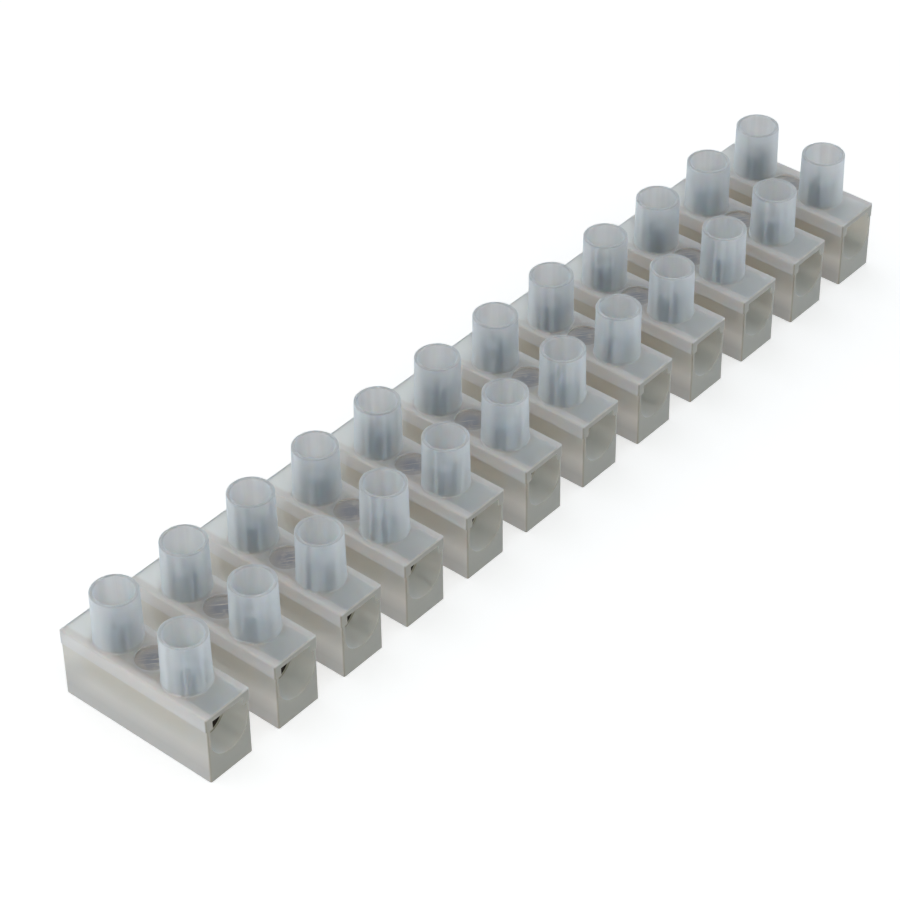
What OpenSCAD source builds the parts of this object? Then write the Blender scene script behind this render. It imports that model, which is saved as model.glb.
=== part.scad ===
// Twelve-pole screw terminal strip.
// One moulding of translucent natural plastic joins twelve poles by low webs.
// Each pole has a round-bottomed channel that holds a brass insert with a wire bore from end
// to end, and two slotted headless clamp screws stand in open chimneys and close down on the wire.
// The strip lies along X, the poles run along Y, and the foot of the strip is at Z = 0.

/* [Poles] */
// Distance from one pole to the next
pitch = 11.5; // [11:0.1:13]
// Width of a pole below its top band
pole_w = 7; // [6.6:0.1:7.6]
// Length of a pole from wire mouth to wire mouth
pole_l = 23.9; // [22:0.1:28]
// Height of a pole from its foot to its roof
pole_h = 10.15; // [9.8:0.05:11.6]
// Radius of a pole's upright corners
corner_r = 0.25; // [0.15:0.05:0.6]
// Height of the band that thickens the top of a pole
band_h = 2.1; // [1.7:0.1:2.5]
// How far the band stands out from each side
band_out = 0.15; // [0.05:0.05:0.3]
// Radius of the long top edges
edge_r = 0.35; // [0.2:0.05:0.6]
// Radius of the top edges over the wire mouths
lip_r = 0.2; // [0.1:0.05:0.4]

/* [Walls] */
// Thickness of a pole's side walls beside its channel
side_t = 0.45; // [0.4:0.05:0.7]
// Thickness of the roof between the halves of the band
roof_t = 0.95; // [0.8:0.05:1.2]
// Thickness of the floor at the lowest line of a pole's channel
floor_t = 2.9; // [2.6:0.1:3.2]
// Width of the slot under the roof, between the halves of the band
slot_w = 5.1; // [4.9:0.1:5.6]
// Diameter of the shallow round dish in the roof
dish_d = 4.4; // [3:0.1:4.8]
// Depth of the dish
dish_depth = 0.35; // [0.1:0.05:0.5]

/* [Chimneys] */
// Distance between the two chimneys of a pole
chimney_span = 11.16; // [10.8:0.02:12.4]
// Height of a chimney above the roof
chimney_h = 7.3; // [6.5:0.05:8.5]
// Outside diameter of a chimney at its rim
chimney_d = 5.94; // [5.8:0.02:6.2]
// How much wider a chimney is at its foot
chimney_flare = 0.2; // [0:0.02:0.3]
// Radius of the fillet at a chimney's foot
foot_fillet = 0.2; // [0.1:0.02:0.3]
// Thickness of the chimney wall at the rim
chimney_t = 0.5; // [0.4:0.02:0.56]
// Bevel on the edges of the rim
rim_bevel = 0.12; // [0.05:0.01:0.18]

/* [Webs] */
// Length of the webs that join the poles
web_l = 7; // [6:0.5:12]
// Height of the webs
web_h = 3; // [2:0.1:4]
// Diameter of the fixing hole in each web
fixing_d = 2.4; // [2:0.1:3.4]

/* [Inserts] */
// Length of a brass insert
insert_l = 16.8; // [15.6:0.1:17.6]
// Diameter of the wire bore
wire_bore_d = 4.2; // [3.6:0.1:4.4]
// How far the wire bore's axis lies below the axis of the insert's round foot
bore_drop = 0.3; // [0:0.05:0.4]
// Bevel at the two ends of the wire bore
bore_bevel = 0.2; // [0.1:0.05:0.3]
// Gap between an insert and the walls of its channel
seat_gap = 0.05; // [0.02:0.01:0.1]

/* [Screws] */
// Outside diameter of the screw thread
thread_d = 3.5; // [3:0.1:3.6]
// Radial gap between the thread and its hole in the insert
thread_gap = 0.05; // [0.02:0.01:0.1]
// Length of a screw from its tip to its slotted end
screw_l = 5.8; // [5.4:0.1:6.4]
// Height of the bevelled tip
tip_l = 0.65; // [0.4:0.05:0.9]
// Diameter of the flat at the tip
tip_d = 2.2; // [1.8:0.1:2.6]
// Bevel on the edge of the slotted end
crown_bevel = 0.3; // [0.1:0.05:0.5]
// Width of the driver slot
driver_slot_w = 0.7; // [0.5:0.05:0.9]
// Depth of the driver slot
driver_slot_depth = 1.3; // [0.8:0.1:1.6]
// How far a backed-out screw's tip stands above the wire bore
tip_up = 0.05; // [0.05:0.05:0.3]
// Turn from one screw's driver slot to the next
slot_turn = 37; // [0:1:90]

/* [Hidden] */
$fn = 48;
// A cut reaches this far past the face that it opens
past = 1;
poles = 12;
rows = ["front", "back"];
row_side = [-1, 1];
band_w = pole_w + 2 * band_out;
band_z = pole_h - band_h;
channel_w = pole_w - 2 * side_t;
slot_top = pole_h - roof_t;
channel_z = floor_t + channel_w / 2;
chimney_bore_d = chimney_d - 2 * chimney_t;
insert_w = channel_w - 2 * seat_gap;
insert_rib_w = slot_w - 2 * seat_gap;
insert_shoulder_z = band_z - seat_gap;
insert_top = slot_top - seat_gap;
thread_hole_d = thread_d + 2 * thread_gap;
wire_bore_z = channel_z - bore_drop;
wire_bore_top = wire_bore_z + wire_bore_d / 2;
screw_z = wire_bore_top + tip_up;

// Place of a pole along the strip, counted from the left
function pole_x(i) = (i - (poles + 1) / 2) * pitch;

// Rectangle on the origin with round corners
module round_rect(w, l, r) {
    square([w - 2 * r, l], center = true);
    square([w, l - 2 * r], center = true);
    for (x = [-1, 1], y = [-1, 1])
        translate([x * (w / 2 - r), y * (l / 2 - r)])
            circle(r);
}

// Upright rectangle on the X axis from z0 to z1
module tall_rect(w, z0, z1) {
    translate([-w / 2, z0])
        square([w, z1 - z0]);
}

// Section with a round foot on the channel's axis, straight sides up to a shoulder and a narrower top
module round_foot_section(w, shoulder_z, top_w, top_z) {
    intersection() {
        translate([0, channel_z])
            circle(d = w);
        tall_rect(w, channel_z - w, shoulder_z);
    }
    tall_rect(w, channel_z, shoulder_z);
    tall_rect(top_w, channel_z, top_z);
}

// A section drawn in X and Z, drawn out to length l along Y
module along_y(l) {
    rotate([90, 0, 0])
        linear_extrude(height = l, center = true)
            children();
}

// Section of a bar of width w that ends at the roof, with its two top edges rounded
module crown_section(w, r) {
    tall_rect(w, band_z - past, pole_h - r);
    tall_rect(w - 2 * r, band_z - past, pole_h);
    for (side = [-1, 1])
        translate([side * (w / 2 - r), pole_h - r])
            circle(r);
}

// Outer block of a pole: a straight box with a wider, round-edged band at the top
module pole_block() {
    linear_extrude(height = pole_h - band_h / 2)
        round_rect(pole_w, pole_l, corner_r);
    intersection() {
        translate([0, 0, band_z])
            linear_extrude(height = band_h)
                round_rect(band_w, pole_l, corner_r);
        along_y(pole_l + past)
            crown_section(band_w, edge_r);
        rotate([0, 0, 90])
            along_y(band_w + past)
                crown_section(pole_l, lip_r);
    }
}

// Solid of one chimney, with its foot sunk into the roof and a fillet round it
module chimney() {
    r = chimney_d / 2;
    foot_r = r + chimney_flare / 2;
    fillet_r = foot_r + foot_fillet;
    translate([0, 0, pole_h])
        rotate_extrude() {
            polygon([
                [0, -roof_t / 2],
                [foot_r, -roof_t / 2],
                [foot_r, foot_fillet],
                [r, chimney_h - rim_bevel],
                [r - rim_bevel, chimney_h],
                [0, chimney_h]
            ]);
            difference() {
                translate([0, -roof_t / 2])
                    square([fillet_r, roof_t / 2 + foot_fillet]);
                translate([fillet_r, foot_fillet])
                    circle(foot_fillet);
            }
        }
}

// Bore of one chimney, through the roof to the slot, with a bevelled mouth
module chimney_bore() {
    r = chimney_bore_d / 2;
    top = pole_h + chimney_h;
    rotate_extrude()
        polygon([
            [0, slot_top - past / 2],
            [r, slot_top - past / 2],
            [r, top - rim_bevel],
            [r + rim_bevel, top],
            [r + rim_bevel, top + past],
            [0, top + past]
        ]);
}

// Hollow of one pole: the channel from mouth to mouth that holds the insert, and the dish in the roof
module pole_hollow() {
    along_y(pole_l + 2 * past)
        round_foot_section(channel_w, band_z, slot_w, slot_top);
    translate([0, 0, pole_h - dish_depth])
        cylinder(d = dish_d, h = dish_depth + past);
}

// Low web between two poles, with its fixing hole
module web() {
    w = pitch - pole_w + side_t;
    difference() {
        translate([-w / 2, -web_l / 2, 0])
            cube([w, web_l, web_h]);
        translate([0, 0, -past])
            cylinder(d = fixing_d, h = web_h + 2 * past);
    }
}

// The one moulding that joins all poles
module housing() {
    color([0.84, 0.86, 0.87])
        difference() {
            union() {
                for (i = [1:poles])
                    translate([pole_x(i), 0, 0]) {
                        pole_block();
                        for (side = row_side)
                            translate([0, side * chimney_span / 2, 0])
                                chimney();
                    }
                for (i = [1:poles - 1])
                    translate([pole_x(i) + pitch / 2, 0, 0])
                        web();
            }
            for (i = [1:poles])
                translate([pole_x(i), 0, 0]) {
                    pole_hollow();
                    for (side = row_side)
                        translate([0, side * chimney_span / 2, 0])
                            chimney_bore();
                }
        }
}

// Wire bore along Y, with a bevel where it leaves each end of the insert
module wire_bore() {
    r = wire_bore_d / 2;
    end = insert_l / 2;
    rotate([90, 0, 0])
        rotate_extrude()
            polygon([
                [0, -end - past],
                [r + bore_bevel, -end - past],
                [r + bore_bevel, -end],
                [r, bore_bevel - end],
                [r, end - bore_bevel],
                [r + bore_bevel, end],
                [r + bore_bevel, end + past],
                [0, end + past]
            ]);
}

// Brass insert of pole i, with its wire bore and the two screw holes that open into it
module insert(i) {
    color([0.71, 0.58, 0.3])
        translate([pole_x(i), 0, 0])
            difference() {
                along_y(insert_l)
                    round_foot_section(insert_w, insert_shoulder_z, insert_rib_w, insert_top);
                translate([0, 0, wire_bore_z])
                    wire_bore();
                for (side = row_side)
                    translate([0, side * chimney_span / 2, wire_bore_z])
                        cylinder(d = thread_hole_d, h = insert_top - wire_bore_z + past);
            }
}

// Headless clamp screw, with its tip at Z = 0 and a driver slot across its top
module screw() {
    r = thread_d / 2;
    color([0.66, 0.69, 0.73])
        difference() {
            rotate_extrude()
                polygon([
                    [0, 0],
                    [tip_d / 2, 0],
                    [r, tip_l],
                    [r, screw_l - crown_bevel],
                    [r - crown_bevel, screw_l],
                    [0, screw_l]
                ]);
            translate([-driver_slot_w / 2, -thread_d, screw_l - driver_slot_depth])
                cube([driver_slot_w, 2 * thread_d, driver_slot_depth + past]);
        }
}

// Screw of pole i in one row, backed out until its tip clears the wire bore
module placed_screw(row, i) {
    translate([pole_x(i), row_side[row] * chimney_span / 2, screw_z])
        rotate([0, 0, (row * poles + i) * slot_turn])
            screw();
}

housing();
for (i = [1:poles]) {
    insert(i);
    for (row = [0, 1])
        placed_screw(row, i);
}
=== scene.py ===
"""Looks of a twelve-pole terminal strip: plastic moulding, brass inserts and plated clamp screws."""
import math

import bpy
from bpy.props import FloatProperty, FloatVectorProperty, PointerProperty
from bpy.types import NodeSocket, Operator, Panel, PropertyGroup
from mathutils import Matrix, Vector


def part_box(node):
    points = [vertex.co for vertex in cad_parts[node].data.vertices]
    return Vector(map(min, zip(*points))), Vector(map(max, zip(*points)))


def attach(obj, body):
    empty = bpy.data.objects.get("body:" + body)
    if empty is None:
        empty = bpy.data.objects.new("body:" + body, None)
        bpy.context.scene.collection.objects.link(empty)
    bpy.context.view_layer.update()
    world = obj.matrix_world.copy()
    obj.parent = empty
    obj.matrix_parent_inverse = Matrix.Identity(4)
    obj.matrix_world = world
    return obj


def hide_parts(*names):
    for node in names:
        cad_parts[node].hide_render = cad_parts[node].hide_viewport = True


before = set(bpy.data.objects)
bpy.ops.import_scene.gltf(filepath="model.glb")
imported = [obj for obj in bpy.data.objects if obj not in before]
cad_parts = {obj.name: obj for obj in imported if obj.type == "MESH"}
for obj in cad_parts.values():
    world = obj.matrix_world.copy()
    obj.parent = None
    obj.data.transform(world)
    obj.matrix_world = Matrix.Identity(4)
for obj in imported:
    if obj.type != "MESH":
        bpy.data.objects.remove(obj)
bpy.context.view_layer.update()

bl_info = {
    "name": "Terminal strip looks",
    "version": (1, 0, 0),
    "blender": (4, 5, 0),
    "location": "3D View > Sidebar > Terminal strip",
    "description": "Dresses the packed terminal strip: moulding, inserts, screws and studio",
    "category": "Object",
}

MM = 0.001
POLES = 12
ROWS = ("front", "back")
BODY = "strip"
PITCH = (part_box("insert_2")[0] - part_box("insert_1")[0]).x

# Lines of the moulding and of the wire bore that the boxes of the pieces don't give
BAND_FOOT = 8.05 * MM
ROOF_TOP = 10.15 * MM
SLOT_HALF = 2.55 * MM
DISH_RADIUS = 2.2 * MM
CHIMNEY_MID = 2.7 * MM
BORE_AXIS = 5.65 * MM
BORE_EDGE = 2.33 * MM

# Borders of the places on the pieces: how far each lies past the line it follows, and its width, in mm
BORDERS = {
    "floor_top": (0.0, 2.4),
    "side_wall": (0.3, 0.1),
    "patch_end": (-0.3, 1.5),
    "patch_foot": (1.5, 2.0),
    "patch_top": (-0.1, 0.3),
    "band_foot": (0.0, 0.12),
    "slot_side": (0.0, 0.5),
    "end_face": (-0.12, 0.12),
    "round_edge": (-0.25, 0.3),
    "roof": (-0.05, 0.06),
    "insert_end": (0.0, 0.6),
    "dish_side": (-0.352, 2.2),
    "dish_floor": (-0.45, 0.1),
    "chimney_foot": (0.35, 0.3),
    "chimney_bore": (0.0, 0.1),
    "chimney_depth": (-2.0, 4.0),
    "rim": (-0.1, 0.08),
    "channel_wall": (0.08, 0.04),
    "channel_start": (0.0, 0.1),
    "channel_mouth": (-0.02, 0.02),
    "channel_top": (0.1, 0.04),
    "wire_bore": (0.0, 0.06),
    "sawn_end": (-0.05, 0.06),
    "crown": (-0.2, 0.1),
}

# Noise patterns: scale, detail, and the two values of the noise between which the pattern rises
PATTERNS = {
    "drag": (1300.0, 4.0, 0.42, 0.62),
    "scratch": (4000.0, 3.0, 0.55, 0.68),
    # The next pattern breaks up the painted shade in the dish
    "dish_shade": (700.0, 3.0, 0.15, 0.45),
    "mottle": (260.0, 3.0, 0.35, 0.65),
    "frost": (1500.0, 3.0, 0.3, 0.7),
    "film": (420.0, 5.0, 0.4, 0.65),
    "dull_plate": (900.0, 4.0, 0.4, 0.7),
    "paper": (8.0, 3.0, 0.0, 1.0),
}
DRAG_STRETCH = (1, 1, 0.05)
SCRATCH_STRETCH = (14, 1, 1)
SCRATCH_LEAN = (0, 0, -0.7)

# Fine bumps: scale and detail of the noise, strength and depth
BUMPS = {
    "plastic": (700.0, 4.0, 0.08, 0.05 * MM),
    "brass": (2500.0, 3.0, 0.15, 0.02 * MM),
    "zinc": (4000.0, 3.0, 0.1, 0.01 * MM),
}

# How far the patterns change the frost and the milkiness, and the roughness of clean and of dull metal
FROST_RANGE = 0.03
MOTTLE_MILK = 0.04
BRASS_ROUGHNESS = (0.58, 0.72)
ZINC_ROUGHNESS = (0.28, 0.45)
PLASTIC_IOR = 1.5

# Meshes: steps round a bar, the angle up to which edges are smooth, and the gaps that count as none
ROUND_STEPS = 32
SMOOTH_ANGLE = math.radians(28)
CAD_GAP = 0.0005 * MM
SCREW_GAP = 0.002 * MM
SAME_HEIGHT = 0.001 * MM

# The thread's ridge: its sink and its overrun in thread depths, its widths at foot and crest in pitches
RIDGE_SINK = 1.3
RIDGE_OVERRUN = 0.2
RIDGE_FOOT = 0.92
RIDGE_CREST = 0.04

# The screw's core: its overlap with the ridge, and its length in screw lengths
CORE_OVERLAP = 0.02 * MM
CORE_LENGTH = 1.2

# Turn in degrees from one screw's driver slot to the next, as in the source
SLOT_TURN = 37

# The camera: sensor width in mm, shifts in sensor widths, its place and axes, and what it can see
SENSOR_WIDTH = 36.0
LENS_SHIFT = (0.02245, -0.02837)
CAMERA_PLACE = (-0.23614, -0.195506, 0.251773)
CAMERA_RIGHT = (0.651445, -0.758558, -0.014488)
CAMERA_UP = (0.482096, 0.399125, 0.779925)
CAMERA_BACK = (-0.585835, -0.515063, 0.625706)
CAMERA_CLIP = (0.01, 10.0)

# The lamp and the floor
KEY_SIZE = (0.25, 0.2)
FLOOR_SIZE = 4.0
FLOOR_ROUGHNESS = 0.9
PAPER_SHADE = 0.99
WHITE = (1, 1, 1)


class StripSizes(PropertyGroup):
    """Sizes of the pieces that are modelled here."""

    thread_pitch: FloatProperty(
        name="Thread pitch", description="Rise of the screw thread in one turn",
        default=0.6 * MM, unit="LENGTH", precision=5)
    thread_depth: FloatProperty(
        name="Thread depth", description="Depth of the screw thread",
        default=0.33 * MM, unit="LENGTH", precision=5)
    slot_width: FloatProperty(
        name="Slot width", description="Width of the driver slot",
        default=0.7 * MM, unit="LENGTH", precision=5)
    slot_depth: FloatProperty(
        name="Slot depth", description="Depth of the driver slot",
        default=1.3 * MM, unit="LENGTH", precision=5)
    tip_height: FloatProperty(
        name="Tip height", description="Height of the bevelled tip",
        default=0.65 * MM, unit="LENGTH", precision=5)
    tip_bevel: FloatProperty(
        name="Tip bevel", description="How far the tip is drawn in",
        default=0.65 * MM, unit="LENGTH", precision=5)
    crown_bevel: FloatProperty(
        name="Crown bevel", description="Bevel round the slotted end",
        default=0.3 * MM, unit="LENGTH", precision=5)


class StripFinish(PropertyGroup):
    """Colours and finishes of the three materials, some of them painted shade and painted light."""

    plastic: FloatVectorProperty(
        name="Plastic", description="Colour of the natural plastic",
        default=(0.66, 0.615, 0.54), subtype="COLOR", size=3, min=0, max=1)
    plastic_shade: FloatVectorProperty(
        name="Plastic shade", description="Colour of the plastic where it is a little duller",
        default=(0.63, 0.585, 0.515), subtype="COLOR", size=3, min=0, max=1)
    # Painted shade: the solid plastic under each channel, low on the pole, is darkened
    plastic_floor_shade: FloatVectorProperty(
        name="Plastic of the floor", description="Colour of the plastic where a pole is solid under its channel",
        default=(0.43, 0.405, 0.37), subtype="COLOR", size=3, min=0, max=1)
    # Painted shade: the sides are darkened to olive where the brass insert lies behind the wall
    plastic_insert_shade: FloatVectorProperty(
        name="Plastic over the inserts", description="Colour of a pole's sides where the insert shows through",
        default=(0.63, 0.595, 0.5), subtype="COLOR", size=3, min=0, max=1)
    plastic_band: FloatVectorProperty(
        name="Plastic of the band", description="Colour of the band round a pole's top",
        default=(0.72, 0.705, 0.7), subtype="COLOR", size=3, min=0, max=1)
    # Painted shade: the poles' end faces are darkened, for the little light that falls on them from the front
    plastic_end_shade: FloatVectorProperty(
        name="Plastic of the ends", description="Colour of the poles' end faces",
        default=(0.22, 0.2, 0.13), subtype="COLOR", size=3, min=0, max=1)
    # Painted light: the roof over the insert is lightened
    plastic_roof_light: FloatVectorProperty(
        name="Plastic of the roof", description="Colour of the roof where it lies on the insert",
        default=(0.84, 0.84, 0.85), subtype="COLOR", size=3, min=0, max=1)
    # Painted shade: a dark blue patch in the dish between the chimneys
    plastic_dish_shade: FloatVectorProperty(
        name="Plastic in the dish", description="Colour of the plastic in the dish between the chimneys",
        default=(0.17, 0.18, 0.24), subtype="COLOR", size=3, min=0, max=1)
    # Painted light: the chimneys and the roof past the insert are lightened and tinted blue, for light shining
    # through thin walls from behind
    plastic_backlit: FloatVectorProperty(
        name="Thin plastic", description="Colour of the plastic where it is thin and light shines in from behind",
        default=(0.85, 0.88, 0.905), subtype="COLOR", size=3, min=0, max=1)
    # Painted shade: the faces inside the chimneys are darkened, most just under the rim and less low down
    plastic_bore_shade: FloatVectorProperty(
        name="Plastic in the bores", description="Colour of the plastic inside the chimneys",
        default=(0.59, 0.64, 0.67), subtype="COLOR", size=3, min=0, max=1)
    plastic_deep_shade: FloatVectorProperty(
        name="Plastic deep in the bores", description="Colour of the plastic low down inside the chimneys",
        default=(0.77, 0.82, 0.85), subtype="COLOR", size=3, min=0, max=1)
    # Painted shade: the chimneys' rims are darkened, to hold down the light on their tops
    plastic_rim_shade: FloatVectorProperty(
        name="Plastic of the rims", description="Colour of the chimneys' rims",
        default=(0.53, 0.56, 0.58), subtype="COLOR", size=3, min=0, max=1)
    # Painted shade: the faces inside the wire mouths are darkened
    plastic_channel_shade: FloatVectorProperty(
        name="Plastic in the channels", description="Colour of the faces inside the wire mouths",
        default=(0.48, 0.495, 0.445), subtype="COLOR", size=3, min=0, max=1)
    clarity: FloatProperty(
        name="Clarity", description="How much light passes through a surface of the plastic",
        default=0.65, min=0, max=1, subtype="FACTOR")
    clarity_floor: FloatProperty(
        name="Clarity of the floor", description="How much light passes where a pole is solid under its channel",
        default=0.3, min=0, max=1, subtype="FACTOR")
    clarity_band: FloatProperty(
        name="Clarity of the band", description="How much light passes through the band round a pole's top",
        default=0.5, min=0, max=1, subtype="FACTOR")
    clarity_end: FloatProperty(
        name="Clarity of the ends", description="How much light passes through the poles' end faces",
        default=0.4, min=0, max=1, subtype="FACTOR")
    clarity_roof: FloatProperty(
        name="Clarity of the roof", description="How much light passes through the roof between the chimneys",
        default=0.82, min=0, max=1, subtype="FACTOR")
    clarity_dish: FloatProperty(
        name="Clarity of the dish", description="How much light passes through the dish between the chimneys",
        default=0.5, min=0, max=1, subtype="FACTOR")
    clarity_chimney: FloatProperty(
        name="Clarity of the chimneys", description="How much light passes through the chimneys' walls",
        default=0.9, min=0, max=1, subtype="FACTOR")
    clarity_bore: FloatProperty(
        name="Clarity of the bores", description="How much light passes through the faces inside the chimneys",
        default=0.4, min=0, max=1, subtype="FACTOR")
    clarity_rim: FloatProperty(
        name="Clarity of the rims", description="How much light passes through the chimneys' rims",
        default=0.8, min=0, max=1, subtype="FACTOR")
    clarity_channel: FloatProperty(
        name="Clarity of the channels", description="How much light passes through the faces in the wire mouths",
        default=0.6, min=0, max=1, subtype="FACTOR")
    scratches: FloatProperty(
        name="Scratches", description="How milky the fine scratches in the dish are",
        default=0.35, min=0, max=1, subtype="FACTOR")
    drag_marks: FloatProperty(
        name="Drag marks", description="How milky the marks up the chimneys are",
        default=0.25, min=0, max=1, subtype="FACTOR")
    bulk: FloatProperty(
        name="Bulk", description="How much of the milky light comes from inside the plastic",
        default=1.0, min=0, max=1, subtype="FACTOR")
    scatter: FloatVectorProperty(
        name="Scatter", description="How far red, green and blue light spread inside the plastic",
        default=(1.6 * MM, 1.0 * MM, 0.7 * MM), unit="LENGTH", size=3, min=0, precision=5)
    frost: FloatProperty(
        name="Frost", description="Roughness of the plastic",
        default=0.46, min=0, max=1, subtype="FACTOR")
    frost_chimney: FloatProperty(
        name="Frost of the chimneys", description="Roughness of the chimneys' walls",
        default=0.42, min=0, max=1, subtype="FACTOR")
    haze: FloatProperty(
        name="Haze", description="How milky the plastic looks at a low angle",
        default=0.9, min=0, max=1, subtype="FACTOR")
    haze_spread: FloatProperty(
        name="Haze spread", description="How evenly the haze covers a face, from its edges only to all over",
        default=0.6, min=0, max=1, subtype="FACTOR")
    haze_tint: FloatVectorProperty(
        name="Haze tint", description="Colour of the milky haze",
        default=(0.86, 0.94, 1.0), subtype="COLOR", size=3, min=0, max=1)
    brass: FloatVectorProperty(
        name="Brass", description="Colour of the inserts",
        default=(0.7, 0.58, 0.3), subtype="COLOR", size=3, min=0, max=1)
    brass_dull: FloatVectorProperty(
        name="Dull brass", description="Colour of the inserts where they are tarnished",
        default=(0.58, 0.48, 0.25), subtype="COLOR", size=3, min=0, max=1)
    # Partly the duller sawn brass, partly painted shade: the ends are dark and not metallic so they sink into the
    # shade of the mouths
    brass_sawn_shade: FloatVectorProperty(
        name="Sawn brass", description="Colour of the inserts' sawn ends",
        default=(0.35, 0.34, 0.26), subtype="COLOR", size=3, min=0, max=1)
    # Painted shade: the brass inside the wire bores is near black, for the deep hole's shade
    brass_bore_shade: FloatVectorProperty(
        name="Brass in the bore", description="Colour of the brass inside the wire bores",
        default=(0.03, 0.025, 0.02), subtype="COLOR", size=3, min=0, max=1)
    zinc: FloatVectorProperty(
        name="Zinc", description="Colour of the plated screws",
        default=(0.25, 0.355, 0.44), subtype="COLOR", size=3, min=0, max=1)
    zinc_dull: FloatVectorProperty(
        name="Dull zinc", description="Colour of the plating where it is dull",
        default=(0.185, 0.265, 0.34), subtype="COLOR", size=3, min=0, max=1)
    # Painted light: the screws' slotted ends are paler, as if lit from above
    zinc_crown_light: FloatVectorProperty(
        name="Zinc of the crowns", description="Colour of the screws' slotted ends, rubbed bright by the driver",
        default=(0.5, 0.54, 0.57), subtype="COLOR", size=3, min=0, max=1)


class StudioSettings(PropertyGroup):
    """Camera, lamp, surround and floor."""

    lens: FloatProperty(
        name="Lens", description="Focal length of the camera",
        default=121.646, unit="CAMERA")
    surround: FloatProperty(
        name="Surround", description="Strength of the light from all round",
        default=0.75, min=0)
    surround_tint: FloatVectorProperty(
        name="Surround tint", description="Colour of the light from all round",
        default=(0.95, 0.98, 1.0), subtype="COLOR", size=3, min=0, max=1)
    key: FloatProperty(
        name="Key lamp", description="Power of the large lamp on the left",
        default=0.19, min=0, unit="POWER")
    key_place: FloatVectorProperty(
        name="Key lamp's place", description="Where the large lamp stands",
        default=(-0.3, 0.03, 0.14), unit="LENGTH", size=3)
    key_tint: FloatVectorProperty(
        name="Key tint", description="Colour of the large lamp on the left",
        default=(1.0, 0.95, 0.88), subtype="COLOR", size=3, min=0, max=1)
    floor: FloatVectorProperty(
        name="Floor", description="Colour of the floor",
        default=(0.9, 0.9, 0.9), subtype="COLOR", size=3, min=0, max=1)
    floor_glow: FloatProperty(
        name="Floor glow", description="White that the camera sees on the floor besides its lit colour",
        default=0.36, min=0)


def add_node(tree, kind, **settings):
    """Adds a shader node and sets its properties, and its inputs where a name is one."""
    made = tree.nodes.new(kind)
    for name, value in settings.items():
        if hasattr(made, name):
            setattr(made, name, value)
        else:
            made.inputs[name].default_value = value
    return made


def feed(tree, socket, value):
    """Links another node's output to an input, or sets a constant on it, a colour with full alpha."""
    if isinstance(value, NodeSocket):
        tree.links.new(value, socket)
    elif socket.type == "RGBA":
        socket.default_value = (*value, 1)
    else:
        socket.default_value = value


def feed_inputs(tree, node, values):
    """Feeds the named inputs of a node."""
    for name, value in values.items():
        feed(tree, node.inputs[name], value)


def math_node(tree, operation, *values):
    """Adds a Math node on outputs or numbers and returns its output."""
    made = add_node(tree, "ShaderNodeMath", operation=operation)
    for socket, value in zip(made.inputs, values):
        feed(tree, socket, value)
    return made.outputs[0]


def mix(tree, kind, share, first, second):
    """Adds a mix of two values of one kind and returns its output."""
    made = add_node(tree, "ShaderNodeMix", data_type="RGBA" if kind == "RGBA" else "FLOAT")
    ends = [socket for socket in made.inputs if socket.type == kind and socket.name in ("A", "B")]
    for socket, value in zip((made.inputs[0], *ends), (share, first, second)):
        feed(tree, socket, value)
    return next(socket for socket in made.outputs if socket.type == kind)


def mix_colours(tree, share, first, second):
    """Adds a mix of two colours and returns its output."""
    return mix(tree, "RGBA", share, first, second)


def mix_numbers(tree, share, first, second):
    """Adds a mix of two numbers and returns its output."""
    return mix(tree, "VALUE", share, first, second)


def map_range(tree, value, low, high, to_low=0.0, to_high=1.0):
    """Adds a clamped range map on an output and returns its own output."""
    made = tree.nodes.new("ShaderNodeMapRange")
    feed_inputs(tree, made, {
        "Value": value, "From Min": low, "From Max": high, "To Min": to_low, "To Max": to_high})
    return made.outputs["Result"]


def noise(tree, vector, scale, detail):
    """Adds a noise on a vector and returns its value."""
    made = add_node(tree, "ShaderNodeTexNoise", Scale=scale, Detail=detail)
    tree.links.new(vector, made.inputs["Vector"])
    return made.outputs["Fac"]


def pattern(tree, vector, name):
    """Share of a named noise pattern at a point."""
    scale, detail, low, high = PATTERNS[name]
    return map_range(tree, noise(tree, vector, scale, detail), low, high)


def mapped(tree, vector, **settings):
    """A vector stretched or turned by a Mapping node."""
    made = add_node(tree, "ShaderNodeMapping", **settings)
    tree.links.new(vector, made.inputs["Vector"])
    return made.outputs["Vector"]


def add_bump(tree, shader, where, name):
    """Puts a named fine bump on the shader's normal."""
    scale, detail, strength, depth = BUMPS[name]
    made = add_node(tree, "ShaderNodeBump", Strength=strength, Distance=depth)
    tree.links.new(noise(tree, where, scale, detail), made.inputs["Height"])
    tree.links.new(made.outputs["Normal"], shader.inputs["Normal"])


def product(tree, *shares):
    """Product of several shares."""
    result = shares[0]
    for share in shares[1:]:
        result = math_node(tree, "MULTIPLY", result, share)
    return result


def opposite(tree, share):
    """What is left of 1 beside a share."""
    return math_node(tree, "SUBTRACT", 1.0, share)


def distance(tree, first, second):
    """Length of the hypotenuse of two sides."""
    squares = math_node(tree, "MULTIPLY_ADD", first, first, math_node(tree, "MULTIPLY", second, second))
    return math_node(tree, "SQRT", squares)


def rise(tree, value, line, border):
    """0 before a named border along a line and 1 past it."""
    offset, width = BORDERS[border]
    middle, half = line + offset * MM, width * MM / 2
    return map_range(tree, value, middle - half, middle + half)


def fall(tree, value, line, border):
    """1 before a named border along a line and 0 past it."""
    return opposite(tree, rise(tree, value, line, border))


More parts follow.
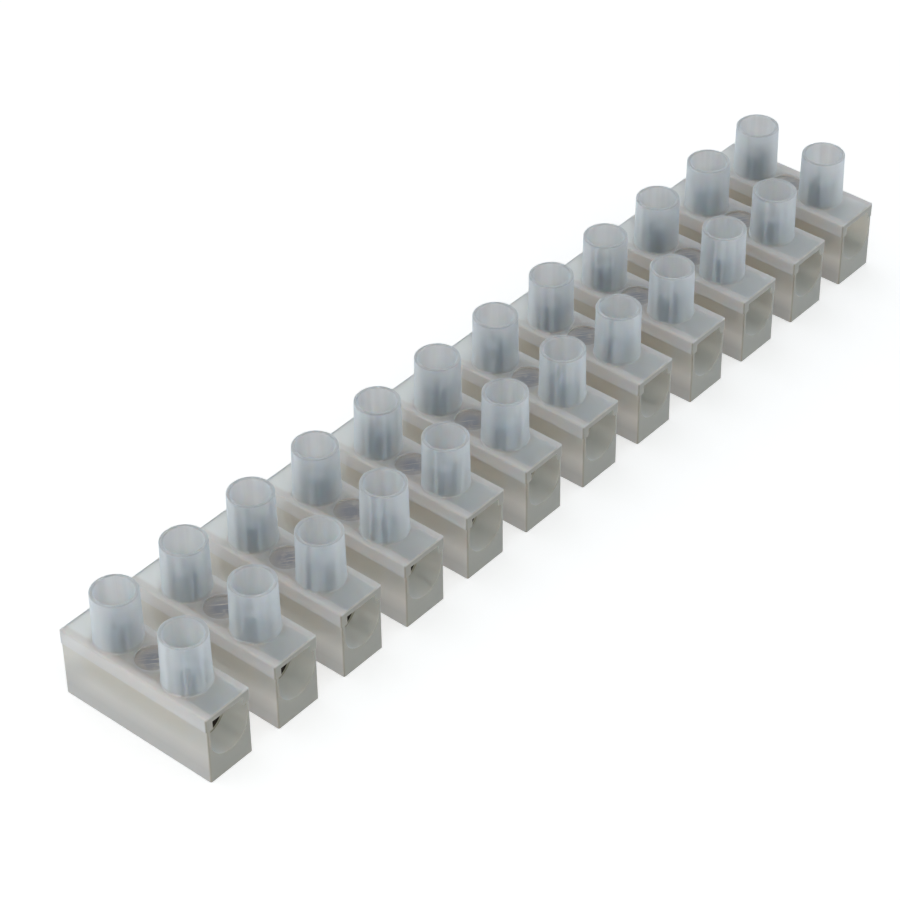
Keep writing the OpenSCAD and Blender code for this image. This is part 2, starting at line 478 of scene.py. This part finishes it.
def new_material(name):
    """Starts a material and returns it with its tree, its Principled node and its object coordinates."""
    made = bpy.data.materials.new(name)
    made.use_nodes = True
    tree = made.node_tree
    tree.nodes.clear()
    shader = tree.nodes.new("ShaderNodeBsdfPrincipled")
    out = tree.nodes.new("ShaderNodeOutputMaterial")
    tree.links.new(shader.outputs["BSDF"], out.inputs["Surface"])
    where = tree.nodes.new("ShaderNodeTexCoord").outputs["Object"]
    return made, tree, shader, where


def strip_place(tree, where):
    """Distance from a pole's middle plane, distance from the strip's middle line, and height."""
    split = tree.nodes.new("ShaderNodeSeparateXYZ")
    tree.links.new(where, split.inputs[0])
    x, y, z = split.outputs
    turn = math_node(tree, "FRACT", math_node(tree, "DIVIDE", x, PITCH))
    off_middle = math_node(tree, "ABSOLUTE", math_node(tree, "SUBTRACT", turn, 0.5))
    return math_node(tree, "MULTIPLY", off_middle, PITCH), math_node(tree, "ABSOLUTE", y), z


def plastic_places(tree, where):
    """Shares of the places on the moulding at a point: where it is thick, thin, flush or inside."""
    aside, along, z = strip_place(tree, where)
    insert_low, insert_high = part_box("insert_1")
    screw_low, screw_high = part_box("screw_back_1")
    housing_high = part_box("housing")[1]
    half = (insert_high - insert_low).x / 2
    screw_axis = (screw_low.y + screw_high.y) / 2
    from_screw = distance(tree, aside, math_node(tree, "SUBTRACT", along, screw_axis))
    drop = math_node(tree, "MINIMUM", math_node(tree, "SUBTRACT", z, insert_low.z + half), 0.0)
    beside_slot = rise(tree, aside, SLOT_HALF, "slot_side")
    chimney = rise(tree, z, ROOF_TOP, "chimney_foot")
    below_chimney = opposite(tree, chimney)
    roof = product(tree, rise(tree, z, ROOF_TOP, "roof"), below_chimney, opposite(tree, beside_slot))
    return {
        "floor": fall(tree, z, insert_low.z, "floor_top"),
        "patch": product(
            tree, rise(tree, aside, half, "side_wall"), fall(tree, along, insert_high.y, "patch_end"),
            rise(tree, z, insert_low.z, "patch_foot"), fall(tree, z, BAND_FOOT, "patch_top")),
        "band": product(tree, rise(tree, z, BAND_FOOT, "band_foot"), beside_slot),
        "end": product(
            tree, rise(tree, along, housing_high.y, "end_face"), fall(tree, z, ROOF_TOP, "round_edge")),
        "roof": roof,
        "past": product(tree, roof, rise(tree, along, insert_high.y, "insert_end")),
        "dish": product(
            tree, fall(tree, distance(tree, aside, along), DISH_RADIUS, "dish_side"),
            rise(tree, z, ROOF_TOP, "dish_floor"), below_chimney),
        "chimney": chimney,
        "bore": product(tree, chimney, fall(tree, from_screw, CHIMNEY_MID, "chimney_bore")),
        "deep": fall(tree, z, housing_high.z, "chimney_depth"),
        "rim": rise(tree, z, housing_high.z, "rim"),
        "channel": product(
            tree, fall(tree, distance(tree, aside, drop), half, "channel_wall"),
            rise(tree, along, insert_high.y, "channel_start"),
            fall(tree, along, housing_high.y, "channel_mouth"),
            fall(tree, z, insert_high.z, "channel_top")),
    }


def plastic_material(finish):
    """Natural translucent plastic: frosted, milky where it is thick, with drag marks up the chimneys, and with
    painted shade and painted light by place.
    """
    made, tree, shader, where = new_material("natural_plastic")
    at = plastic_places(tree, where)
    leaving = tree.nodes.new("ShaderNodeNewGeometry").outputs["Backfacing"]
    at["bore"] = product(tree, at["bore"], opposite(tree, leaving))
    at["deep"] = product(tree, at["bore"], at["deep"])
    up_chimney = mapped(tree, where, Scale=DRAG_STRETCH)
    drag = product(tree, pattern(tree, up_chimney, "drag"), at["chimney"])
    across_dish = mapped(tree, where, vector_type="TEXTURE", Scale=SCRATCH_STRETCH, Rotation=SCRATCH_LEAN)
    scratch = product(tree, pattern(tree, across_dish, "scratch"), at["dish"])
    # Painted shade in the dish, broken up by noise
    dish_shade = product(tree, pattern(tree, where, "dish_shade"), at["dish"])
    mottle = pattern(tree, where, "mottle")

    colour = mix_colours(tree, mottle, finish.plastic_shade, finish.plastic)
    # Painted shade on the floor, patch, end, bore, deep, rim and channel places; painted light on the roof, past
    # and chimney places
    tints = {
        "floor": finish.plastic_floor_shade, "patch": finish.plastic_insert_shade, "band": finish.plastic_band,
        "end": finish.plastic_end_shade, "roof": finish.plastic_roof_light, "past": finish.plastic_backlit,
        "chimney": finish.plastic_backlit, "bore": finish.plastic_bore_shade, "deep": finish.plastic_deep_shade,
        "rim": finish.plastic_rim_shade, "channel": finish.plastic_channel_shade,
    }
    for place, tint in tints.items():
        colour = mix_colours(tree, at[place], colour, tint)
    # Paints the shade in the dish
    colour = mix_colours(tree, dish_shade, colour, finish.plastic_dish_shade)
    colour = mix_colours(tree, scratch, colour, finish.plastic)

    low, high = finish.frost - FROST_RANGE, finish.frost + FROST_RANGE
    rough = map_range(tree, pattern(tree, where, "frost"), 0, 1, low, high)
    rough = math_node(tree, "MULTIPLY_ADD", at["chimney"], finish.frost_chimney - finish.frost, rough)

    milk = math_node(tree, "MULTIPLY_ADD", mottle, MOTTLE_MILK, 1.0 - finish.clarity)
    for place in ("band", "floor", "end", "roof", "dish", "chimney", "bore", "rim", "channel"):
        milk = mix_numbers(tree, at[place], milk, 1.0 - getattr(finish, "clarity_" + place))
    milk = math_node(tree, "MULTIPLY_ADD", drag, finish.drag_marks, milk)
    milk = math_node(tree, "MULTIPLY_ADD", scratch, finish.scratches, milk)

    feed_inputs(tree, shader, {
        "Base Color": colour,
        "Roughness": rough,
        "Transmission Weight": math_node(tree, "MAXIMUM", opposite(tree, milk), leaving),
        "Subsurface Weight": finish.bulk,
        "Subsurface Scale": 1.0,
        "Subsurface Radius": finish.scatter,
        "IOR": PLASTIC_IOR,
        "Sheen Weight": finish.haze,
        "Sheen Roughness": finish.haze_spread,
        "Sheen Tint": finish.haze_tint,
    })
    add_bump(tree, shader, where, "plastic")
    return made


def brass_material(finish):
    """Drawn brass with a dull film in patches; its sawn ends duller, with painted shade on them, and painted
    near-black shade in the wire bore.
    """
    made, tree, shader, where = new_material("drawn_brass")
    aside, along, z = strip_place(tree, where)
    from_axis = distance(tree, aside, math_node(tree, "SUBTRACT", z, BORE_AXIS))
    # Painted shade: near-black brass inside the wire bore
    bore = fall(tree, from_axis, BORE_EDGE, "wire_bore")
    # Sawn ends: duller brass with painted shade
    sawn = rise(tree, along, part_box("insert_1")[1].y, "sawn_end")
    film = pattern(tree, where, "film")
    colour = mix_colours(tree, film, finish.brass, finish.brass_dull)
    colour = mix_colours(tree, sawn, colour, finish.brass_sawn_shade)
    colour = mix_colours(tree, bore, colour, finish.brass_bore_shade)
    feed_inputs(tree, shader, {
        "Base Color": colour,
        "Metallic": opposite(tree, product(tree, sawn, opposite(tree, bore))),
        "Roughness": map_range(tree, film, 0, 1, *BRASS_ROUGHNESS),
    })
    add_bump(tree, shader, where, "brass")
    return made


def zinc_material(finish):
    """Zinc plate with a bluish cast, dull in patches, and with painted light on the slotted ends."""
    made, tree, shader, where = new_material("zinc_plate")
    dull = pattern(tree, where, "dull_plate")
    # Painted light on the slotted ends
    crown = rise(tree, strip_place(tree, where)[2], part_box("screw_front_1")[1].z, "crown")
    colour = mix_colours(tree, dull, finish.zinc, finish.zinc_dull)
    feed_inputs(tree, shader, {
        "Base Color": mix_colours(tree, crown, colour, finish.zinc_crown_light),
        "Metallic": 1.0,
        "Roughness": map_range(tree, dull, 0, 1, *ZINC_ROUGHNESS),
    })
    add_bump(tree, shader, where, "zinc")
    return made


def dress(obj, material):
    """Gives a piece one material in its only slot."""
    obj.data.materials.clear()
    obj.data.materials.append(material)


def deselect_all():
    """Leaves object mode with nothing selected."""
    if bpy.context.object and bpy.context.object.mode != "OBJECT":
        bpy.ops.object.mode_set(mode="OBJECT")
    bpy.ops.object.select_all(action="DESELECT")


def make_active(obj):
    """Selects one object alone and makes it active."""
    deselect_all()
    obj.select_set(True)
    bpy.context.view_layer.objects.active = obj


def add_object(name, data):
    """Puts a new object in the scene and returns it."""
    obj = bpy.data.objects.new(name, data)
    bpy.context.scene.collection.objects.link(obj)
    return obj


def merged_copy(node, name):
    """Copies a CAD node's mesh, joins its loose triangles and shades it smooth up to sharp edges."""
    obj = add_object(name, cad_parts[node].data.copy())
    make_active(obj)
    bpy.ops.object.mode_set(mode="EDIT")
    bpy.ops.mesh.select_all(action="SELECT")
    bpy.ops.mesh.remove_doubles(threshold=CAD_GAP)
    bpy.ops.object.mode_set(mode="OBJECT")
    bpy.ops.mesh.customdata_custom_splitnormals_clear()
    bpy.ops.object.shade_smooth_by_angle(angle=SMOOTH_ANGLE)
    return obj


class STRIP_OT_stage(Operator):
    """Sets the floor, the light and the camera."""

    bl_idname = "strip.set_stage"
    bl_label = "Set the stage"

    def execute(self, context):
        studio = context.scene.strip_studio
        self.set_floor(studio)
        self.set_surround(context.scene, studio)
        self.set_lamp(studio)
        self.set_camera(context.scene, studio)
        context.scene.view_settings.view_transform = "Standard"
        return {"FINISHED"}

    def sight_rays(self, tree):
        """1 for rays that show the surroundings: camera, mirror and see-through rays."""
        path = tree.nodes.new("ShaderNodeLightPath")
        seen = math_node(tree, "MAXIMUM", path.outputs["Is Camera Ray"], path.outputs["Is Glossy Ray"])
        return math_node(tree, "MAXIMUM", seen, path.outputs["Is Transmission Ray"])

    def set_floor(self, studio):
        """A wide sheet of white paper, with a glow that only rays of sight see."""
        deselect_all()
        bpy.ops.mesh.primitive_plane_add(size=FLOOR_SIZE, location=(0, 0, 0))
        floor = bpy.context.object
        floor.name = "floor"
        made, tree, shader, where = new_material("floor_paper")
        shade = [channel * PAPER_SHADE for channel in studio.floor]
        feed_inputs(tree, shader, {
            "Base Color": mix_colours(tree, pattern(tree, where, "paper"), studio.floor, shade),
            "Roughness": FLOOR_ROUGHNESS,
            "Specular IOR Level": 0.0,
            "Emission Color": WHITE,
            "Emission Strength": math_node(tree, "MULTIPLY", self.sight_rays(tree), studio.floor_glow),
        })
        dress(floor, made)

    def set_surround(self, scene, studio):
        """Even light from all round, which rays of sight see as plain white."""
        scene.world = bpy.data.worlds.new("studio")
        scene.world.use_nodes = True
        tree = scene.world.node_tree
        tree.nodes.clear()
        back = tree.nodes.new("ShaderNodeBackground")
        out = tree.nodes.new("ShaderNodeOutputWorld")
        tree.links.new(back.outputs[0], out.inputs["Surface"])
        sight = self.sight_rays(tree)
        feed_inputs(tree, back, {
            "Color": mix_colours(tree, sight, studio.surround_tint, WHITE),
            "Strength": map_range(tree, sight, 0, 1, studio.surround, 1.0),
        })

    def set_lamp(self, studio):
        """The large lamp on the left, turned to the middle of the strip."""
        lamp = bpy.data.lights.new("key_lamp", "AREA")
        lamp.shape = "RECTANGLE"
        lamp.size, lamp.size_y = KEY_SIZE
        lamp.energy = studio.key
        lamp.color = studio.key_tint
        obj = add_object("key_lamp", lamp)
        obj.location = studio.key_place
        obj.rotation_mode = "QUATERNION"
        obj.rotation_quaternion = (-obj.location).to_track_quat("-Z", "Y")

    def set_camera(self, scene, studio):
        """The camera at its fitted place."""
        camera = bpy.data.cameras.new("camera")
        camera.sensor_width = SENSOR_WIDTH
        camera.lens = studio.lens
        camera.shift_x, camera.shift_y = LENS_SHIFT
        camera.clip_start, camera.clip_end = CAMERA_CLIP
        obj = add_object("camera", camera)
        axes = [Vector(axis) for axis in (CAMERA_RIGHT, CAMERA_UP, CAMERA_BACK)]
        obj.matrix_world = Matrix.Translation(CAMERA_PLACE) @ Matrix(axes).transposed().to_4x4()
        scene.camera = obj


class STRIP_OT_housing(Operator):
    """Makes the moulding from its CAD node, with smooth rounds and the plastic's finish."""

    bl_idname = "strip.make_housing"
    bl_label = "Make the housing"

    def execute(self, context):
        obj = merged_copy("housing", "housing_moulding")
        dress(obj, plastic_material(context.scene.strip_finish))
        obj.visible_shadow = False
        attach(obj, BODY)
        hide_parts("housing")
        return {"FINISHED"}


class STRIP_OT_inserts(Operator):
    """Makes the brass inserts from their CAD nodes."""

    bl_idname = "strip.make_inserts"
    bl_label = "Make the inserts"

    def execute(self, context):
        brass = brass_material(context.scene.strip_finish)
        for i in range(1, POLES + 1):
            obj = merged_copy(f"insert_{i}", f"insert_bar_{i}")
            dress(obj, brass)
            obj.visible_shadow = False
            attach(obj, BODY)
            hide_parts(f"insert_{i}")
        return {"FINISHED"}


class STRIP_OT_screws(Operator):
    """Models one slotted clamp screw with its thread and sets a copy in each chimney."""

    bl_idname = "strip.make_screws"
    bl_label = "Make the screws"

    def execute(self, context):
        low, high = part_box("screw_front_1")
        zinc = zinc_material(context.scene.strip_finish)
        model = self.model_screw(context.scene.strip_sizes, (high - low).x / 2, (high - low).z)
        for n, row in enumerate(ROWS):
            for i in range(1, POLES + 1):
                node = f"screw_{row}_{i}"
                low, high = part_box(node)
                obj = add_object(f"clamp_{node}", model.data.copy())
                tip = Matrix.Translation(((low.x + high.x) / 2, (low.y + high.y) / 2, low.z))
                turn = Matrix.Rotation(math.radians((n * POLES + i) * SLOT_TURN), 4, "Z")
                obj.data.transform(tip @ turn)
                dress(obj, zinc)
                obj.visible_shadow = False
                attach(obj, node)
                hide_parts(node)
        bpy.data.objects.remove(model)
        return {"FINISHED"}

    def model_screw(self, sizes, radius, length):
        """The screw with its tip at the origin and its axis on Z."""
        envelope = self.envelope(sizes, radius, length)
        thread = self.thread(sizes, radius, length)
        core = self.core(radius - sizes.thread_depth, length)
        self.combine(thread, core, "UNION")
        self.combine(thread, envelope, "INTERSECT")
        self.combine(thread, self.driver_slot(sizes, radius, length), "DIFFERENCE")
        make_active(thread)
        bpy.ops.object.mode_set(mode="EDIT")
        bpy.ops.mesh.select_all(action="SELECT")
        bpy.ops.mesh.remove_doubles(threshold=SCREW_GAP)
        bpy.ops.mesh.dissolve_degenerate(threshold=SCREW_GAP)
        bpy.ops.object.mode_set(mode="OBJECT")
        self.join_straight_edges(thread)
        bpy.ops.object.shade_smooth_by_angle(angle=SMOOTH_ANGLE)
        return thread

    def join_straight_edges(self, obj):
        """Dissolves the points that only two edges meet at, so that no two triangles fold on each other."""
        meets = [0] * len(obj.data.vertices)
        for edge in obj.data.edges:
            for end in edge.vertices:
                meets[end] += 1
        self.select_points(obj, lambda vertex: meets[vertex.index] == 2)
        bpy.ops.mesh.dissolve_verts()
        bpy.ops.object.mode_set(mode="OBJECT")

    def envelope(self, sizes, radius, length):
        """A bar of the screw's outside diameter with a coned tip and a bevelled crown."""
        straight = length - sizes.tip_height - sizes.crown_bevel
        bar = self.bar(radius, straight, sizes.tip_height + straight / 2)
        self.draw_in(bar, sizes.tip_height + straight, sizes.crown_bevel, 1 - sizes.crown_bevel / radius)
        self.draw_in(bar, sizes.tip_height, -sizes.tip_height, 1 - sizes.tip_bevel / radius)
        return bar

    def core(self, radius, length):
        """A bar of the thread's root diameter, a little longer than the screw."""
        return self.bar(radius + CORE_OVERLAP, length * CORE_LENGTH, length / 2)

    def bar(self, radius, length, middle):
        """A round bar on Z with its middle at one height."""
        deselect_all()
        bpy.ops.mesh.primitive_cylinder_add(
            vertices=ROUND_STEPS, radius=radius, depth=length, location=(0, 0, middle))
        bpy.ops.object.transform_apply(location=True, rotation=True, scale=True)
        return bpy.context.object

    def draw_in(self, bar, height, lift, share):
        """Extrudes the end face at one height and draws it in, which leaves a cone on that end."""
        self.select_points(bar, lambda vertex: abs(vertex.co.z - height) < SAME_HEIGHT)
        bpy.ops.mesh.extrude_region_move(TRANSFORM_OT_translate={"value": (0, 0, lift)})
        bpy.ops.transform.resize(value=(share, share, 1), center_override=(0, 0, 0))
        bpy.ops.object.mode_set(mode="OBJECT")

    def select_points(self, obj, wanted):
        """Enters edit mode with the wanted points, and the edges and faces between them, selected."""
        make_active(obj)
        bpy.ops.object.mode_set(mode="EDIT")
        bpy.ops.mesh.select_mode(type="VERT")
        bpy.ops.mesh.select_all(action="DESELECT")
        bpy.ops.object.mode_set(mode="OBJECT")
        for vertex in obj.data.vertices:
            vertex.select = wanted(vertex)
        bpy.ops.object.mode_set(mode="EDIT")

    def thread(self, sizes, radius, length):
        """The thread's ridge: a tapered profile run up a helix with the Screw modifier."""
        deselect_all()
        bpy.ops.mesh.primitive_plane_add(size=1, rotation=(math.pi / 2, 0, 0))
        ridge = bpy.context.object
        bpy.ops.object.transform_apply(location=True, rotation=True, scale=True)
        inner = radius - sizes.thread_depth * RIDGE_SINK
        outer = radius + sizes.thread_depth * RIDGE_OVERRUN
        wide, narrow = sizes.thread_pitch * RIDGE_FOOT, sizes.thread_pitch * RIDGE_CREST
        self.select_points(ridge, lambda vertex: True)
        bpy.ops.transform.resize(value=(outer - inner, 1, wide), center_override=(0, 0, 0))
        bpy.ops.transform.translate(value=((inner + outer) / 2, 0, 0))
        self.select_points(ridge, lambda vertex: vertex.co.x > (inner + outer) / 2)
        bpy.ops.transform.resize(value=(1, 1, narrow / wide), center_override=(0, 0, 0))
        bpy.ops.mesh.select_all(action="SELECT")
        bpy.ops.mesh.delete(type="ONLY_FACE")
        bpy.ops.object.mode_set(mode="OBJECT")
        run = ridge.modifiers.new("helix", "SCREW")
        run.axis, run.angle, run.screw_offset = "Z", 2 * math.pi, sizes.thread_pitch
        run.steps = run.render_steps = ROUND_STEPS
        run.iterations = math.ceil(length / sizes.thread_pitch) + 2
        run.use_merge_vertices = False
        bpy.ops.object.modifier_apply(modifier=run.name)
        bpy.ops.object.mode_set(mode="EDIT")
        bpy.ops.mesh.select_all(action="SELECT")
        bpy.ops.mesh.fill_holes(sides=4)
        bpy.ops.mesh.normals_make_consistent(inside=False)
        bpy.ops.transform.translate(value=(0, 0, -sizes.thread_pitch))
        bpy.ops.object.mode_set(mode="OBJECT")
        return ridge

    def driver_slot(self, sizes, radius, length):
        """The cutter for the driver slot: a block across the screw, half above its end and half below."""
        deselect_all()
        bpy.ops.mesh.primitive_cube_add(size=1, location=(0, 0, length))
        cutter = bpy.context.object
        cutter.scale = (sizes.slot_width, radius * 3, sizes.slot_depth * 2)
        bpy.ops.object.transform_apply(location=True, rotation=True, scale=True)
        return cutter

    def combine(self, obj, other, operation):
        """Applies one exact boolean and removes the second object."""
        make_active(obj)
        step = obj.modifiers.new("combine", "BOOLEAN")
        step.operation, step.object, step.solver = operation, other, "EXACT"
        bpy.ops.object.modifier_apply(modifier=step.name)
        bpy.data.objects.remove(other)


class STRIP_PT_panel(Panel):
    """Sidebar panel of the terminal strip."""

    bl_label = "Terminal strip"
    bl_idname = "STRIP_PT_panel"
    bl_space_type = "VIEW_3D"
    bl_region_type = "UI"
    bl_category = "Terminal strip"

    def draw(self, context):
        for group in GROUPS:
            data = getattr(context.scene, group)
            box = self.layout.box()
            for name in data.bl_rna.properties.keys():
                if name not in ("rna_type", "name"):
                    box.prop(data, name)
        for operator in OPERATORS:
            self.layout.operator(operator.bl_idname)


GROUPS = {"strip_sizes": StripSizes, "strip_finish": StripFinish, "strip_studio": StudioSettings}
OPERATORS = (STRIP_OT_stage, STRIP_OT_housing, STRIP_OT_inserts, STRIP_OT_screws)


def register():
    """Registers the settings, the operators and the panel."""
    for name, group in GROUPS.items():
        bpy.utils.register_class(group)
        setattr(bpy.types.Scene, name, PointerProperty(type=group))
    for cls in (*OPERATORS, STRIP_PT_panel):
        bpy.utils.register_class(cls)


def unregister():
    """Takes away what register adds."""
    for cls in (STRIP_PT_panel, *reversed(OPERATORS)):
        bpy.utils.unregister_class(cls)
    for name, group in GROUPS.items():
        delattr(bpy.types.Scene, name)
        bpy.utils.unregister_class(group)


def main():
    """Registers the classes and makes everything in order."""
    register()
    bpy.ops.strip.set_stage()
    bpy.ops.strip.make_housing()
    bpy.ops.strip.make_inserts()
    bpy.ops.strip.make_screws()


if __name__ == "__main__":
    main()
